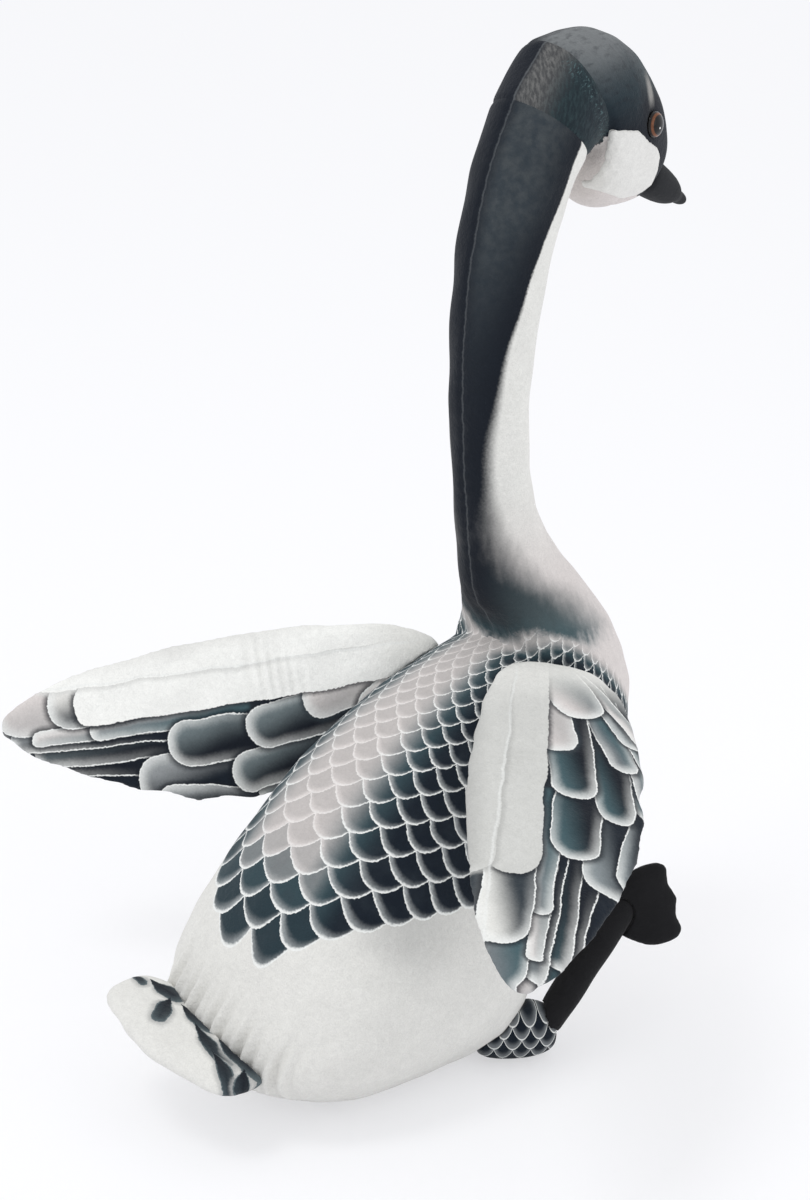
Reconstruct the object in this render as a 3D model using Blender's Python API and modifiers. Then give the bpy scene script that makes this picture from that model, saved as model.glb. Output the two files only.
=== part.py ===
"""Plush goose: a stuffed goose that sits on its belly, with a long neck, two padded wings,
a small padded tail and two soft legs with webbed feet.

Metres, +Z up. The goose faces +Y and its right side is +X. The origin is on the floor, on
the belly's flat patch.
"""

import math

import bmesh
import bpy
from mathutils import Matrix, Vector
from mathutils.bvhtree import BVHTree

# Driving dimensions, in metres.

BODY_LENGTH = 0.270
BODY_WIDTH = 0.178
BODY_DEPTH = 0.172
BODY_PITCH = math.radians(40)
REST_REAR = 0.074
BELLY_SAG = 0.010

NECK_LENGTH = 0.351
NECK_WIDTH = 0.049
NECK_DEPTH = 0.050

HEAD_LENGTH = 0.124
HEAD_WIDTH = 0.064
HEAD_DEPTH = 0.084

BILL_LENGTH = 0.034
BILL_WIDTH = 0.024
BILL_DEPTH = 0.024

EYE_DIAMETER = 0.015
EYE_DOME = 0.0045
STEM_DIAMETER = 0.004
STEM_LENGTH = 0.014
WASHER_DIAMETER = 0.012
WASHER_THICKNESS = 0.0022

CHEEK_INSET = 0.006
CHEEK_THICKNESS = 0.005

WING_SPAN = 0.275
WING_CHORD = 0.108
WING_THICKNESS = 0.024
WING_FEATHERS = 6

TAIL_WIDTH = 0.111
TAIL_LENGTH = 0.038
TAIL_THICKNESS = 0.018
TAIL_BURIED = 0.030
TAIL_FEATHERS = 5

THIGH_LENGTH = 0.052
THIGH_DIAMETER = 0.038
LEG_LENGTH = 0.100
LEG_DIAMETER = 0.021
FOOT_LENGTH = 0.056
FOOT_WIDTH = 0.050
FOOT_THICKNESS = 0.013

SEAM_GAP = 0.0003

# Colours are linear RGB.

WHITE_PLUSH = (0.72, 0.71, 0.68)
DARK_PLUSH = (0.018, 0.024, 0.035)
SLATE_PLUSH = (0.10, 0.13, 0.15)
BAND_PLUSH = (0.07, 0.09, 0.10)
BLACK_PLUSH = (0.010, 0.010, 0.012)
EYE_AMBER = (0.16, 0.06, 0.02)
WASHER_WHITE = (0.60, 0.60, 0.58)

GOOSE = bpy.data.collections.new("plush_goose")
CUTTERS = bpy.data.collections.new("cutters")


def clear_scene():
    for obj in list(bpy.data.objects):
        bpy.data.objects.remove(obj, do_unlink=True)


def plush(name, colour, roughness=0.9):
    material = bpy.data.materials.new(name)
    material.use_nodes = True
    shader = material.node_tree.nodes["Principled BSDF"]
    shader.inputs["Base Color"].default_value = (*colour, 1.0)
    shader.inputs["Roughness"].default_value = roughness
    shader.inputs["Metallic"].default_value = 0.0
    return material


def add_object(name, mesh, material, collection=None):
    obj = bpy.data.objects.new(name, mesh)
    (collection or GOOSE).objects.link(obj)
    if material:
        mesh.materials.append(material)
    mesh.shade_smooth()
    return obj


def smooth(obj, levels):
    """Rounds a coarse cage, in triangles that its swollen copy has too."""
    surface = obj.modifiers.new("surface", "SUBSURF")
    surface.levels = levels
    surface.render_levels = levels
    obj.modifiers.new("triangles", "TRIANGULATE")
    return obj


def cage_share(count):
    """How far a subdivided ring of this many corners shrinks from its cage."""
    return (3 + math.cos(2 * math.pi / count)) / 4


def section(centre, pitch, half_width, half_depth, count):
    """A closed ring across a path that climbs at pitch. It starts in the middle of the back."""
    back = Vector((0, -math.sin(pitch), math.cos(pitch)))
    side = Vector((1, 0, 0))
    grow = 1 / cage_share(count)
    points = []
    for step in range(count):
        turn = 2 * math.pi * step / count
        points.append(
            centre
            + side * (half_width * grow * math.sin(turn))
            + back * (half_depth * grow * math.cos(turn))
        )
    return points


def loft(name, rings, material, levels=1, flat_ends=(False, False)):
    """Skins rings of equal count and closes both ends. A flat end keeps its edge sharp."""
    shape = bmesh.new()
    crease = shape.edges.layers.float.new("crease_edge")
    loops = [[shape.verts.new(point) for point in ring] for ring in rings]
    count = len(rings[0])
    for lower, upper in zip(loops, loops[1:]):
        for step in range(count):
            after = (step + 1) % count
            shape.faces.new((lower[step], lower[after], upper[after], upper[step]))
    shape.faces.new(loops[0])
    shape.faces.new(loops[-1])
    for loop, flat in ((loops[0], flat_ends[0]), (loops[-1], flat_ends[1])):
        for step in range(count):
            edge = shape.edges.get((loop[step], loop[(step + 1) % count]))
            edge[crease] = 1.0 if flat else 0.0
    bmesh.ops.recalc_face_normals(shape, faces=shape.faces)
    mesh = bpy.data.meshes.new(name)
    shape.to_mesh(mesh)
    shape.free()
    return smooth(add_object(name, mesh, material), levels)


def baked_mesh(obj):
    bpy.context.view_layer.update()
    evaluated = obj.evaluated_get(bpy.context.evaluated_depsgraph_get())
    return bpy.data.meshes.new_from_object(evaluated)


def as_cutter(obj):
    obj.hide_render = True
    obj.display_type = "WIRE"
    return obj


def swollen(obj, by=SEAM_GAP):
    """A copy of a piece, grown by a gap, that cuts what is sewn to the piece."""
    mesh = baked_mesh(obj)
    mesh.transform(obj.matrix_world)
    copy = add_object(obj.name + "_room", mesh, None, CUTTERS)
    push = copy.modifiers.new("gap", "DISPLACE")
    push.mid_level = 0.0
    push.strength = by
    return as_cutter(copy)


def cut(obj, cutter, operation="DIFFERENCE"):
    knife = obj.modifiers.new("cut_" + cutter.name, "BOOLEAN")
    knife.operation = operation
    knife.solver = "EXACT"
    knife.object = cutter
    return obj


def surface_point(obj, start, direction):
    """Where a ray first meets a piece, and the surface's normal there."""
    mesh = baked_mesh(obj)
    shape = bmesh.new()
    shape.from_mesh(mesh)
    tree = BVHTree.FromBMesh(shape)
    point, normal, _, _ = tree.ray_cast(start, direction)
    shape.free()
    bpy.data.meshes.remove(mesh)
    return point, normal


# Body, neck and head share one path in the middle plane.

BODY_AXIS = Vector((0, math.cos(BODY_PITCH), math.sin(BODY_PITCH)))
BODY_BACK = Vector((0, -math.sin(BODY_PITCH), math.cos(BODY_PITCH)))
BODY_START = Vector((0, -REST_REAR, 0.165 * BODY_DEPTH))

# Along the body, lift towards the back, pitch in degrees, then half width and half depth,
# each as a share of the body's size.
BODY_STATIONS = (
    (-0.08, 0.24, 0, 0.20, 0.08),
    (-0.04, 0.19, 8, 0.34, 0.17),
    (0.04, 0.10, 22, 0.44, 0.32),
    (0.16, 0.03, 34, 0.50, 0.45),
    (0.32, -0.13, 40, 0.53, 0.63),
    (0.48, -0.09, 40, 0.51, 0.59),
    (0.64, -0.03, 40, 0.46, 0.49),
    (0.79, -0.06, 40, 0.42, 0.44),
    (0.91, -0.10, 40, 0.38, 0.40),
    (1.00, -0.14, 40, 0.34, 0.36),
)
SIDES = 14


def body_point(along, lift=0.0):
    return BODY_START + BODY_AXIS * (along * BODY_LENGTH) + BODY_BACK * (lift * BODY_DEPTH)


def body_rings():
    rings = []
    for along, lift, pitch, wide, deep in BODY_STATIONS:
        centre = body_point(along, lift)
        ring = section(
            centre, math.radians(pitch), wide * BODY_WIDTH, deep * BODY_DEPTH, SIDES
        )
        for point in ring:
            point.z = max(point.z, -BELLY_SAG)
        rings.append(ring)
    return rings


def floor_block():
    """What lies under the floor. It leaves flat faces on the pieces that rest there."""
    shape = bmesh.new()
    bmesh.ops.create_cube(shape, size=4 * BODY_LENGTH)
    bmesh.ops.translate(shape, vec=Vector((0, 0, -2 * BODY_LENGTH)), verts=shape.verts)
    mesh = bpy.data.meshes.new("floor_block")
    shape.to_mesh(mesh)
    shape.free()
    return as_cutter(add_object("floor_block", mesh, None, CUTTERS))


def shifted(ring, pitch, by):
    """Moves a ring along its path, to leave the gap of a seam."""
    step = Vector((0, math.cos(pitch), math.sin(pitch))) * by
    return [point + step for point in ring]


NECK_BASE = body_point(1.0, BODY_STATIONS[-1][1])

# Forward and up from the neck's base as shares of the neck's length, the path's pitch in
# degrees, then half width and half depth as shares of the neck's width and depth. The neck
# starts with the torso's last ring, so that ring isn't in the list.
NECK_STATIONS = (
    (0.022, 0.085, 58, 1.06, 1.24),
    (-0.008, 0.167, 76, 0.82, 1.08),
    (-0.080, 0.255, 93, 0.56, 0.68),
    (-0.120, 0.360, 98, 0.44, 0.46),
    (-0.136, 0.500, 93, 0.45, 0.45),
    (-0.132, 0.640, 87, 0.50, 0.50),
    (-0.110, 0.790, 78, 0.54, 0.55),
    (-0.072, 0.910, 66, 0.59, 0.59),
    (-0.025, 0.985, 48, 0.62, 0.62),
)


def neck_rings():
    rings = [shifted(body_rings()[-1], math.radians(BODY_STATIONS[-1][2]), SEAM_GAP)]
    for forward, up, pitch, wide, deep in NECK_STATIONS:
        centre = NECK_BASE + Vector((0, forward, up)) * NECK_LENGTH
        rings.append(
            section(centre, math.radians(pitch), wide * NECK_WIDTH, deep * NECK_DEPTH, SIDES)
        )
    return rings


def neck_top():
    forward, up = NECK_STATIONS[-1][:2]
    return NECK_BASE + Vector((0, forward, up)) * NECK_LENGTH


# From the neck's top: forward and up as shares of the head's length, pitch in degrees,
# half width and half depth as shares of the head's width and depth. The nape band starts
# with the neck's last ring, and the head with the band's.
NAPE_STATIONS = (
    (0.075, 0.085, 38, 0.49, 0.39),
    (0.150, 0.145, 26, 0.50, 0.42),
)
HEAD_STATIONS = (
    (0.270, 0.065, -6, 0.53, 0.575),
    (0.415, -0.055, -22, 0.52, 0.585),
    (0.565, -0.170, -30, 0.43, 0.460),
    (0.680, -0.260, -34, 0.31, 0.320),
    (0.745, -0.325, -36, 0.19, 0.190),
)


def head_point(forward, up):
    return neck_top() + Vector((0, forward, up)) * HEAD_LENGTH


def head_chain(stations, inset=0.0):
    rings = []
    for forward, up, pitch, wide, deep in stations:
        rings.append(
            section(
                head_point(forward, up),
                math.radians(pitch),
                wide * HEAD_WIDTH - inset,
                deep * HEAD_DEPTH - inset,
                SIDES,
            )
        )
    return rings


def build_torso(floor):
    torso = loft("torso", body_rings(), plush("slate_plush", SLATE_PLUSH), 1, (False, True))
    return cut(torso, floor)


def build_neck():
    return loft("neck", neck_rings(), plush("dark_plush", DARK_PLUSH), 1, (True, True))


def build_nape():
    first = shifted(neck_rings()[-1], math.radians(NECK_STATIONS[-1][2]), SEAM_GAP)
    rings = [first] + head_chain(NAPE_STATIONS)
    return loft("nape_band", rings, plush("band_plush", BAND_PLUSH), 1, (True, True))


def head_rings(inset=0.0, start=SEAM_GAP):
    """The head's rings, or those of a smaller head within it that starts further back."""
    rings = head_chain(NAPE_STATIONS[-1:] + HEAD_STATIONS, inset)
    rings[0] = shifted(rings[0], math.radians(NAPE_STATIONS[-1][2]), start)
    return rings


def build_head():
    return loft("head", head_rings(), plush("head_plush", DARK_PLUSH), 1, (True, False))


# The cheeks are panels of their own, set into the head's sides.

# Forward and up from the neck's top as shares of the head's length, seen from the side.
CHEEK_OUTLINE = (
    (0.135, 0.000),
    (0.270, -0.010),
    (0.375, -0.030),
    (0.468, -0.098),
    (0.556, -0.146),
    (0.600, -0.190),
    (0.618, -0.262),
    (0.625, -0.345),
    (0.540, -0.375),
    (0.400, -0.362),
    (0.262, -0.302),
    (0.170, -0.270),
)


def cheek_prism(word, side, grow):
    """The cheek's outline, drawn out sideways. Grow moves every face outwards."""
    corners = [head_point(forward, up) for forward, up in CHEEK_OUTLINE]
    ring = []
    for step, corner in enumerate(corners):
        before = corner - corners[step - 1]
        after = corners[(step + 1) % len(corners)] - corner
        along = before.normalized() + after.normalized()
        ring.append(corner + along.cross(Vector((1, 0, 0))).normalized() * -grow)
    shape = bmesh.new()
    near = [shape.verts.new(point + Vector((side * (CHEEK_INSET - grow), 0, 0))) for point in ring]
    far = [shape.verts.new(point + Vector((side * HEAD_WIDTH, 0, 0))) for point in ring]
    for step in range(len(ring)):
        after = (step + 1) % len(ring)
        shape.faces.new((near[step], near[after], far[after], far[step]))
    shape.faces.new(near)
    shape.faces.new(far)
    bmesh.ops.recalc_face_normals(shape, faces=shape.faces)
    mesh = bpy.data.meshes.new("cheek_prism_" + word)
    shape.to_mesh(mesh)
    shape.free()
    return as_cutter(add_object(mesh.name, mesh, None, CUTTERS))


def head_core(depth):
    """The head's shape at a depth under its surface."""
    core = loft("head_core", head_rings(depth, -depth), None)
    GOOSE.objects.unlink(core)
    CUTTERS.objects.link(core)
    return as_cutter(core)


def build_cheeks(head):
    white = plush("cheek_plush", WHITE_PLUSH)
    whole = baked_mesh(head)
    core = head_core(CHEEK_THICKNESS)
    smaller_core = head_core(CHEEK_THICKNESS + SEAM_GAP)
    cheeks = []
    for side, word in ((1, "right"), (-1, "left")):
        cheek = add_object("cheek_" + word, whole.copy(), None)
        cheek.data.materials.clear()
        cheek.data.materials.append(white)
        cut(cheek, cheek_prism(word, side, 0.0), "INTERSECT")
        cut(cheek, core)
        cheeks.append(cheek)
        room = cheek_prism(word + "_room", side, SEAM_GAP)
        cut(room, smaller_core)
        cut(head, room)
    bpy.data.meshes.remove(whole)
    return cheeks


# Padded panels: wings, tail and feet are flat cushions with scalloped edges.


def panel_frame(origin, span, chord):
    """A frame with X along the span, Y along the chord and Z out of the panel."""
    x = span.normalized()
    y = (chord - x * chord.dot(x)).normalized()
    z = x.cross(y)
    return Matrix.Translation(origin) @ Matrix((x, y, z)).transposed().to_4x4()


FINE_ACROSS = (0.07, 0.32, 0.68, 0.93)
COARSE_ACROSS = (0.10, 0.50, 0.90)


def panel(name, stations, thickness, material, frame, across=FINE_ACROSS):
    """Skins lens sections. Each station is a place along the span, the leading and the
    trailing edge, and a share of the thickness."""
    rings = []
    for along, lead, trail, share in stations:
        half = thickness * share / 2
        reach = trail - lead
        ring = [Vector((along, lead, 0))]
        for part in across:
            rise = half * math.sqrt(4 * part * (1 - part)) ** 0.8
            ring.append(Vector((along, lead + part * reach, rise)))
        ring.append(Vector((along, trail, 0)))
        for part in reversed(across):
            rise = half * math.sqrt(4 * part * (1 - part)) ** 0.8
            ring.append(Vector((along, lead + part * reach, -rise)))
        rings.append([frame @ point for point in ring])
    return loft(name, rings, material)


# Leading and trailing edge along the wing, as shares of the span and of the chord.
WING_EDGE = (
    (0.00, 0.20, 0.62),
    (0.06, 0.06, 0.78),
    (0.14, 0.01, 0.86),
    (0.28, -0.02, 0.92),
    (0.46, -0.02, 0.98),
    (0.58, 0.01, 0.96),
    (0.72, 0.06, 0.86),
    (0.84, 0.12, 0.74),
    (0.93, 0.21, 0.62),
    (1.00, 0.34, 0.46),
)


def wing_edge(place):
    """Reads the wing's edges between the stations above."""
    for near, far in zip(WING_EDGE, WING_EDGE[1:]):
        if place <= far[0]:
            mix = (place - near[0]) / (far[0] - near[0])
            return tuple(a + (b - a) * mix for a, b in zip(near[1:], far[1:]))
    return WING_EDGE[-1][1:]


def wing_stations():
    """Two stations to each feather along the trailing edge: its tip and the notch after it."""
    stations = [(0.0, 0.20 * WING_CHORD, 0.62 * WING_CHORD, 0.55)]
    feathered = 0.30
    for place in (0.06, 0.16, feathered):
        lead, trail = wing_edge(place)
        stations.append((place * WING_SPAN, lead * WING_CHORD, trail * WING_CHORD, 1.0))
    step = (1 - feathered) / WING_FEATHERS
    for feather in range(WING_FEATHERS):
        for part, notch in ((0.45, 0.0), (0.85, 0.06), (1.0, 0.0)):
            place = feathered + (feather + part) * step
            if part == 1.0 and feather < WING_FEATHERS - 1:
                continue
            lead, trail = wing_edge(place)
            share = max(0.35, 1 - 0.75 * (place - feathered) / (1 - feathered))
            stations.append(
                (place * WING_SPAN, lead * WING_CHORD, (trail - notch) * WING_CHORD, share)
            )
    return stations


def wing_direction(side, sweep, droop):
    """A unit vector out from the body: swept back and hanging down by these angles."""
    return Vector(
        (
            side * math.cos(droop) * math.cos(sweep),
            -math.cos(droop) * math.sin(sweep),
            -math.sin(droop),
        )
    )


def build_wing(name, side, shoulder, sweep, droop, twist, material):
    span = wing_direction(side, sweep, droop)
    down = (Vector((0, 0, -1)) + span * span.z).normalized()
    chord = Matrix.Rotation(twist, 3, span) @ down
    origin = shoulder - chord * (0.40 * WING_CHORD)
    frame = panel_frame(origin, span, chord)
    return panel(name, wing_stations(), WING_THICKNESS, material, frame)


# Each shoulder is a place along the body, a lift and a place across, as shares of its sizes.
RIGHT_SHOULDER = (1.009, 0.133, 0.214)
LEFT_SHOULDER = (0.914, 0.040, -0.205)


def body_place(along, lift, across):
    return body_point(along, lift) + Vector((across * BODY_WIDTH, 0, 0))


def build_wings(rooms):
    feather_plush = plush("feather_plush", SLATE_PLUSH)
    right = build_wing(
        "wing_right",
        1,
        body_place(*RIGHT_SHOULDER),
        math.radians(51),
        math.radians(13),
        math.radians(80),
        feather_plush,
    )
    left = build_wing(
        "wing_left",
        -1,
        body_place(*LEFT_SHOULDER),
        math.radians(45),
        math.radians(7),
        math.radians(24),
        feather_plush,
    )
    for wing in (right, left):
        for room in rooms:
            cut(wing, room)


# The tail is a panel whose span runs across the rump.

TAIL_ROOT = (-0.071, 0.300, -0.089)
TAIL_RISE = math.radians(6)
TAIL_ROLL = math.radians(13)


def tail_stations():
    stations = []
    steps = 2 * TAIL_FEATHERS
    for step in range(steps + 1):
        place = step / steps
        from_middle = 2 * place - 1
        reach = 1.0 - 0.42 * from_middle**2
        notch = 0.0 if step % 2 else 0.12
        thickness = 0.55 + 0.45 * math.sqrt(max(0.0, 1 - from_middle**2))
        lead = 0.6 * from_middle**2 * TAIL_BURIED
        stations.append(
            (place * TAIL_WIDTH, lead, TAIL_BURIED + (reach - notch) * TAIL_LENGTH, thickness)
        )
    return stations


def build_tail(torso_room):
    back = Vector((0, -math.cos(TAIL_RISE), math.sin(TAIL_RISE)))
    across = Matrix.Rotation(TAIL_ROLL, 3, "Y") @ Vector((1, 0, 0))
    origin = body_place(*TAIL_ROOT) - across * (TAIL_WIDTH / 2) - back * TAIL_BURIED
    frame = panel_frame(origin, across, back)
    white = plush("tail_plush", WHITE_PLUSH)
    tail = panel("tail", tail_stations(), TAIL_THICKNESS, white, frame, COARSE_ACROSS)
    return cut(tail, torso_room)


# The thighs lie beside the belly, and the legs and feet go forward and up from them.

HIP = (0.320, -0.408, 0.280)
THIGH_SINK = 0.0015
THIGH_TURN = math.radians(40)
LEG_RISE = math.radians(34.5)
LEG_SPLAY = math.radians(-3)
ANKLE_BURIED = 0.012


def leg_direction(side):
    return Vector(
        (
            side * math.sin(LEG_SPLAY),
            math.cos(LEG_SPLAY) * math.cos(LEG_RISE),
            math.cos(LEG_SPLAY) * math.sin(LEG_RISE),
        )
    )


def tube_ring(centre, direction, radius, count):
    """A ring across any direction."""
    side = direction.cross(Vector((0, 0, 1))).normalized()
    rise = side.cross(direction).normalized()
    grow = radius / cage_share(count)
    ring = []
    for step in range(count):
        turn = 2 * math.pi * step / count
        ring.append(centre + side * (grow * math.sin(turn)) + rise * (grow * math.cos(turn)))
    return ring


def tube(name, start, direction, profile, material):
    """Skins rings along a straight line. Each profile row is a distance and a radius."""
    rings = [tube_ring(start + direction * along, direction, radius, 8) for along, radius in profile]
    return loft(name, rings, material)


def build_leg(side, word, torso_room, floor, blacks, thigh_plush):
    thick = THIGH_DIAMETER / 2
    thin = LEG_DIAMETER / 2
    outward = Vector((side * math.sin(THIGH_TURN), math.cos(THIGH_TURN), 0))
    outer_side = Vector((side * math.cos(THIGH_TURN), -math.sin(THIGH_TURN), 0))
    along, lift, across = HIP
    hip = body_place(along, lift, side * across)
    hip.z = thick - THIGH_SINK
    thigh = tube(
        "thigh_" + word,
        hip,
        outward,
        (
            (0.0, 0.50 * thick),
            (0.10 * THIGH_LENGTH, 0.85 * thick),
            (0.30 * THIGH_LENGTH, thick),
            (0.70 * THIGH_LENGTH, 0.98 * thick),
            (0.92 * THIGH_LENGTH, 0.78 * thick),
            (THIGH_LENGTH, 0.45 * thick),
        ),
        thigh_plush,
    )
    cut(thigh, torso_room)
    cut(thigh, floor)
    direction = leg_direction(side)
    leg_start = hip + outward * (0.75 * THIGH_LENGTH) + outer_side * (0.55 * thick)
    leg = tube(
        "leg_" + word,
        leg_start,
        direction,
        (
            (0.0, 0.5 * thin),
            (0.05 * LEG_LENGTH, thin),
            (0.45 * LEG_LENGTH, 0.94 * thin),
            (0.85 * LEG_LENGTH, 1.05 * thin),
            (0.97 * LEG_LENGTH, 0.95 * thin),
            (LEG_LENGTH, 0.5 * thin),
        ),
        blacks,
    )
    for room in (swollen(thigh), torso_room, floor):
        cut(leg, room)
    ankle = leg_start + direction * (LEG_LENGTH - ANKLE_BURIED)
    toes = Vector((side * 0.50, 0.80, 0.20)).normalized()
    across_foot = Vector((-side * 0.25, 0.10, 0.95))
    across_foot = (across_foot - toes * across_foot.dot(toes)).normalized()
    corner = ankle - across_foot * (FOOT_WIDTH / 2) - toes * (0.2 * FOOT_LENGTH)
    frame = panel_frame(corner, across_foot, toes)
    foot = panel("foot_" + word, foot_stations(), FOOT_THICKNESS, blacks, frame, COARSE_ACROSS)
    cut(foot, swollen(leg))


def foot_stations():
    """Three toes with webs between them, read across the foot."""
    rows = (
        (0.00, 0.50, 0.78, 0.5),
        (0.10, 0.34, 0.93, 0.9),
        (0.30, 0.10, 0.82, 1.0),
        (0.50, 0.00, 1.00, 1.0),
        (0.70, 0.10, 0.82, 1.0),
        (0.90, 0.34, 0.93, 0.9),
        (1.00, 0.50, 0.78, 0.5),
    )
    return [
        (place * FOOT_WIDTH, lead * FOOT_LENGTH, trail * FOOT_LENGTH, share)
        for place, lead, trail, share in rows
    ]


def build_legs(torso_room, floor):
    blacks = plush("black_plush", BLACK_PLUSH)
    thigh_plush = plush("thigh_plush", SLATE_PLUSH)
    for side, word in ((1, "right"), (-1, "left")):
        build_leg(side, word, torso_room, floor, blacks, thigh_plush)


# The bill, the eyes and their washers.

BILL_SEAT = (0.795, -0.382)
BILL_PITCH = math.radians(-32)
BILL_BURIED = 0.014
EYE_PLACE = (0.510, -0.025)
EYE_SUNK = 0.0010
WASHER_DEPTH = 0.0100


def build_bill(head_room):
    direction = Vector((0, math.cos(BILL_PITCH), math.sin(BILL_PITCH)))
    start = head_point(*BILL_SEAT) - direction * BILL_BURIED
    whole = BILL_BURIED + BILL_LENGTH
    profile = (
        (0.00, 0.40, 0.40),
        (0.06, 0.52, 0.52),
        (0.45, 0.48, 0.46),
        (0.66, 0.42, 0.34),
        (0.86, 0.31, 0.20),
        (1.00, 0.14, 0.10),
    )
    rings = []
    for along, wide, deep in profile:
        centre = start + direction * (along * whole)
        rings.append(section(centre, BILL_PITCH, wide * BILL_WIDTH, deep * BILL_DEPTH, 10))
    bill = loft("bill", rings, plush("bill_plush", BLACK_PLUSH))
    return cut(bill, head_room)


def turned(name, profile, closed, material, collection=None, steps=12):
    """Turns a profile of radius and height pairs about Z with a Screw modifier."""
    shape = bmesh.new()
    points = [shape.verts.new((radius, 0, height)) for radius, height in profile]
    for one, two in zip(points, points[1:]):
        shape.edges.new((one, two))
    if closed:
        shape.edges.new((points[-1], points[0]))
    mesh = bpy.data.meshes.new(name)
    shape.to_mesh(mesh)
    shape.free()
    obj = add_object(name, mesh, material, collection)
    screw = obj.modifiers.new("turn", "SCREW")
    screw.axis = "Z"
    screw.steps = steps
    screw.render_steps = steps
    screw.use_merge_vertices = True
    screw.merge_threshold = 0.0001
    return obj


def eye_profile():
    """From the top of the dome, over the rim and down the stem."""
    radius = EYE_DIAMETER / 2
    stem = STEM_DIAMETER / 2
    points = []
    for step in range(6):
        lean = math.radians(90 - 18 * step)
        points.append((radius * math.cos(lean), EYE_DOME * math.sin(lean)))
    points[0] = (0.0, EYE_DOME)
    points += [(radius, -EYE_SUNK), (stem, -EYE_SUNK), (stem, -STEM_LENGTH), (0.0, -STEM_LENGTH)]
    return points


def eye_room_profile():
    """The seat, the stem's bore and the washer's pocket that the filling leaves free."""
    radius = EYE_DIAMETER / 2 + SEAM_GAP
    stem = STEM_DIAMETER / 2 + SEAM_GAP
    washer = WASHER_DIAMETER / 2 + SEAM_GAP
    pocket_top = -WASHER_DEPTH + SEAM_GAP
    pocket_floor = -WASHER_DEPTH - WASHER_THICKNESS - SEAM_GAP
    above = 2 * EYE_DOME
    return [
        (0.0, above),
        (radius, above),
        (radius, -EYE_SUNK - SEAM_GAP),
        (stem, -EYE_SUNK - SEAM_GAP),
        (stem, pocket_top),
        (washer, pocket_top),
        (washer, pocket_floor),
        (stem, pocket_floor),
        (stem, -STEM_LENGTH - SEAM_GAP),
        (0.0, -STEM_LENGTH - SEAM_GAP),
    ]


def washer_profile():
    inner = STEM_DIAMETER / 2 + SEAM_GAP
    outer = WASHER_DIAMETER / 2
    low = -WASHER_DEPTH - WASHER_THICKNESS
    return [(inner, -WASHER_DEPTH), (outer, -WASHER_DEPTH), (outer, low), (inner, low)]


def build_eyes(head, cheeks):
    amber = plush("eye_amber", EYE_AMBER, 0.1)
    white = plush("washer_white", WASHER_WHITE, 0.5)
    places = {}
    for side, word in ((1, "right"), (-1, "left")):
        outside = head_point(*EYE_PLACE) + Vector((side * HEAD_WIDTH, 0, 0))
        places[word] = surface_point(head, outside, Vector((-side, 0, 0)))
    for word, (point, normal) in places.items():
        stand = normal.to_track_quat("Z", "Y").to_matrix().to_4x4()
        stand.translation = point
        eye = turned("eye_" + word, eye_profile(), False, amber)
        washer = turned("washer_" + word, washer_profile(), True, white)
        room = turned("eye_room_" + word, eye_room_profile(), False, None, CUTTERS)
        for obj in (eye, washer, as_cutter(room)):
            obj.matrix_world = stand
        for piece in [head] + cheeks:
            cut(piece, room)


def main():
    clear_scene()
    bpy.context.scene.collection.children.link(GOOSE)
    bpy.context.scene.collection.children.link(CUTTERS)
    floor = floor_block()
    torso = build_torso(floor)
    neck = build_neck()
    build_nape()
    head = build_head()
    torso_room = swollen(torso)
    build_wings((torso_room, swollen(neck)))
    build_tail(torso_room)
    build_legs(torso_room, floor)
    build_bill(swollen(head))
    cheeks = build_cheeks(head)
    build_eyes(head, cheeks)


main()
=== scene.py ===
"""Looks of the plush goose: printed short-pile plush, sewn and stuffed, over the frame.

Metres, +Z up. The goose faces +Y and its right side is +X.
"""

import math

import bmesh
import bpy
import numpy as np
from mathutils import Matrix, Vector
from mathutils.bvhtree import BVHTree


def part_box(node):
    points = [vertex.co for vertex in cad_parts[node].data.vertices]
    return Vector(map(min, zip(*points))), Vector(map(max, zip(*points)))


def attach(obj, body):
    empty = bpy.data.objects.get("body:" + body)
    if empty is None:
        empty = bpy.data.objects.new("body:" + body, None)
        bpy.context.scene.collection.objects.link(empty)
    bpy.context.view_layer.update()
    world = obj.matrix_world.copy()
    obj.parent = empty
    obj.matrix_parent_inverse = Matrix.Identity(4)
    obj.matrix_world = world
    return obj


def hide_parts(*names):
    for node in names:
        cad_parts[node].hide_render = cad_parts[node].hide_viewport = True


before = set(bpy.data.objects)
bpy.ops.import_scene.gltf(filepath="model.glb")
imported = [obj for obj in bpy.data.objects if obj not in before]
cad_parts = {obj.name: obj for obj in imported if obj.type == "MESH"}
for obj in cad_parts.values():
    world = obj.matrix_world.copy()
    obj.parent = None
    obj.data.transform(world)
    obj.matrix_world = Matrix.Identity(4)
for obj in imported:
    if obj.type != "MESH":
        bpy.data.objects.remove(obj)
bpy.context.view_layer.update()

# Named sizes, in metres.

SKIN_VOXEL = 0.0019
PANEL_VOXEL = 0.0015
SMALL_VOXEL = 0.0009
SEAM_GAP = 0.0003
SEAM_DEPTH = 0.0009
SEAM_WIDTH = 0.0016
STUFFING_WAVES = 0.0007
WING_WAVES = 0.0010
WING_FOLDS = 0.0009
TAIL_WAVES = 0.0012
THIGH_WAVES = 0.0006
LIMB_WAVES = 0.0005
CHEEK_PUFF = 0.0007
BILL_PINCH = 0.0016

NECK_GATHER = 0.00035
NECK_GATHER_REACH = 0.009
TAIL_GATHER = 0.0019
TAIL_GATHER_REACH = 0.020
TAIL_PLEATS = (0.0085, 0.0131)
BACK_GATHER = 0.00028
BACK_GATHER_REACH = 0.006
BACK_PLEAT = 0.0095

BODY_PITCH = math.radians(40)
NECK_TOP_PITCH = math.radians(48)
NAPE_TOP_PITCH = math.radians(26)
BODY_LENGTH = 0.270
BODY_HALF_DEPTH = 0.094

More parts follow.
